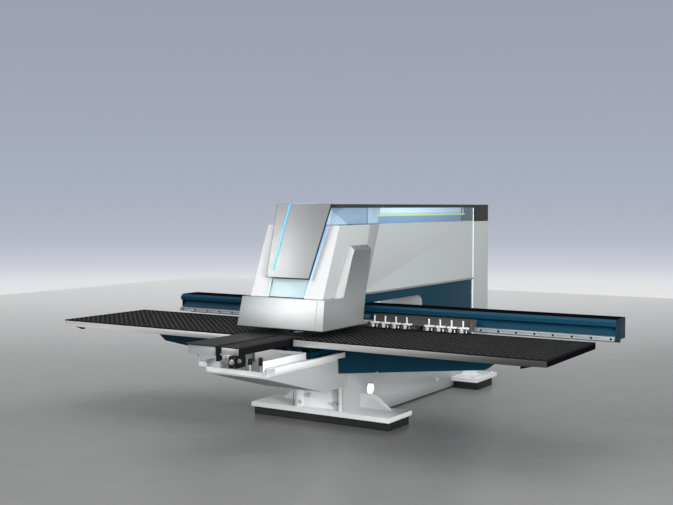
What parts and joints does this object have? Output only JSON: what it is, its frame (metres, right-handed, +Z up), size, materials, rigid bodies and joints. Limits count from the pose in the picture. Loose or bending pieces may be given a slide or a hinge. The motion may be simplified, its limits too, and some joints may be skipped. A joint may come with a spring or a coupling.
{
  "type": "single-head cnc punch press",
  "caption": "C-frame CNC punching machine with moving brush tables, a transverse rail with straight tool magazine, and a turning single punching head.",
  "frame": {"origin": "middle of the underside of the front floor pad", "axes": "+X along the transverse rail to the right of an operator, +Y from the operator to the column, +Z up"},
  "size_m": [5.523, 5.122, 2.18],
  "materials": {
    "white_paint": "satin white paint",
    "light_grey_paint": "satin light grey paint",
    "silver_lacquer": "silver lacquer",
    "deep_blue_paint": "satin deep blue paint",
    "anthracite": "satin anthracite paint",
    "black_brush": "dense black nylon brush",
    "black_rubber": "matt black rubber",
    "ground_steel": "ground steel",
    "dark_iron": "blackened iron",
    "anodised_aluminium": "natural anodised aluminium",
    "brown_grey_lining": "brown-grey matt lining",
    "blue_glass": "blue-lit translucent glazing",
    "cyan_light": "cyan light guide"
  },
  "bodies": {
    "frame": {"front_foot_plate": "white_paint", "rear_foot_left": "white_paint", "rear_foot_right": "white_paint", "head_shell_left": "white_paint", "head_shell_right": "white_paint", "parts_tray": "white_paint", "lower_side_panel_left": "light_grey_paint", "lower_side_panel_right": "light_grey_paint", "upper_side_panel_left": "light_grey_paint", "upper_side_panel_right": "light_grey_paint", "rear_cabinet": "light_grey_paint", "front_housing": "light_grey_paint", "hood_skirt": "silver_lacquer", "head_front_panel": "silver_lacquer", "machine_frame": "deep_blue_paint", "punch_head_body": "deep_blue_paint", "rear_cap": "anthracite", "roof_cap": "anthracite", "die_table": "anthracite", "brush_beam": "anthracite", "junction_box": "anthracite", "front_foot_pad": "black_rubber", "rear_foot_pad_left": "black_rubber", "rear_foot_pad_right": "black_rubber", "flap_hinge_rod": "ground_steel", "beam_support": "anodised_aluminium", "glazing_left": "blue_glass", "glazing_right": "blue_glass", "head_glass": "blue_glass", "head_light_strip": "cyan_light"},
    "y_axis": {"cross_beam_left": "deep_blue_paint", "cross_beam_right": "deep_blue_paint", "carrier_beam": "deep_blue_paint", "table_frame_left": "anodised_aluminium", "table_frame_right": "anodised_aluminium", "brush_top_left": "black_brush", "brush_top_right": "black_brush"},
    "x_axis": {"x_rail": "deep_blue_paint", "rail_strip_left": "anodised_aluminium", "rail_strip_right": "anodised_aluminium", "tool_magazine": "brown_grey_lining", "clamp_body_left": "dark_iron", "clamp_body_right": "dark_iron", "tool_cassette_1": "white_paint", "tool_cassette_2": "white_paint", "tool_cassette_3": "white_paint", "tool_cassette_4": "white_paint", "tool_cassette_5": "white_paint", "tool_cassette_6": "white_paint", "tool_cassette_7": "white_paint", "tool_cassette_8": "white_paint"},
    "jaw_left": {"clamp_jaw_left": "dark_iron"},
    "jaw_right": {"clamp_jaw_right": "dark_iron"},
    "ram": {"ram": "ground_steel"},
    "punch_turn": {"punch_holder": "ground_steel", "punch": "ground_steel"},
    "die_turn": {"die_holder": "ground_steel", "die": "ground_steel"},
    "flap": {"parts_flap": "anthracite", "flap_frame": "anthracite"}
  },
  "joints": [
    {"name": "y_travel", "type": "slide", "parent": "frame", "child": "y_axis", "axis": [0, 1, 0], "range_m": [-0.2, 0.9]},
    {"name": "x_travel", "type": "slide", "parent": "y_axis", "child": "x_axis", "axis": [1, 0, 0], "range_m": [-1.59, 0.91]},
    {"name": "ram_stroke", "type": "slide", "parent": "frame", "child": "ram", "axis": [0, 0, 1], "range_m": [-0.042, 0]},
    {"name": "punch_turn", "type": "hinge", "parent": "ram", "child": "punch_turn", "pos_m": [0, -0.563, 1.1], "axis": [0, 0, 1], "continuous": true},
    {"name": "die_turn", "type": "hinge", "parent": "frame", "child": "die_turn", "pos_m": [0, -0.563, 0.86], "axis": [0, 0, 1], "continuous": true},
    {"name": "flap_tilt", "type": "hinge", "parent": "frame", "child": "flap", "pos_m": [-0.034, -0.925, 0.918], "axis": [1, 0, 0], "range_deg": [0, 8]},
    {"name": "jaw_left_grip", "type": "hinge", "parent": "x_axis", "child": "jaw_left", "pos_m": [-0.65, 0.1217, 0.979], "axis": [-1, 0, 0], "range_deg": [0, 5]},
    {"name": "jaw_right_grip", "type": "hinge", "parent": "x_axis", "child": "jaw_right", "pos_m": [0.932, 0.0817, 0.979], "axis": [-1, 0, 0], "range_deg": [0, 5]}
  ],
  "couplings": [
    {"joint": "punch_turn", "follows": "die_turn", "ratio": 1}
  ]
}
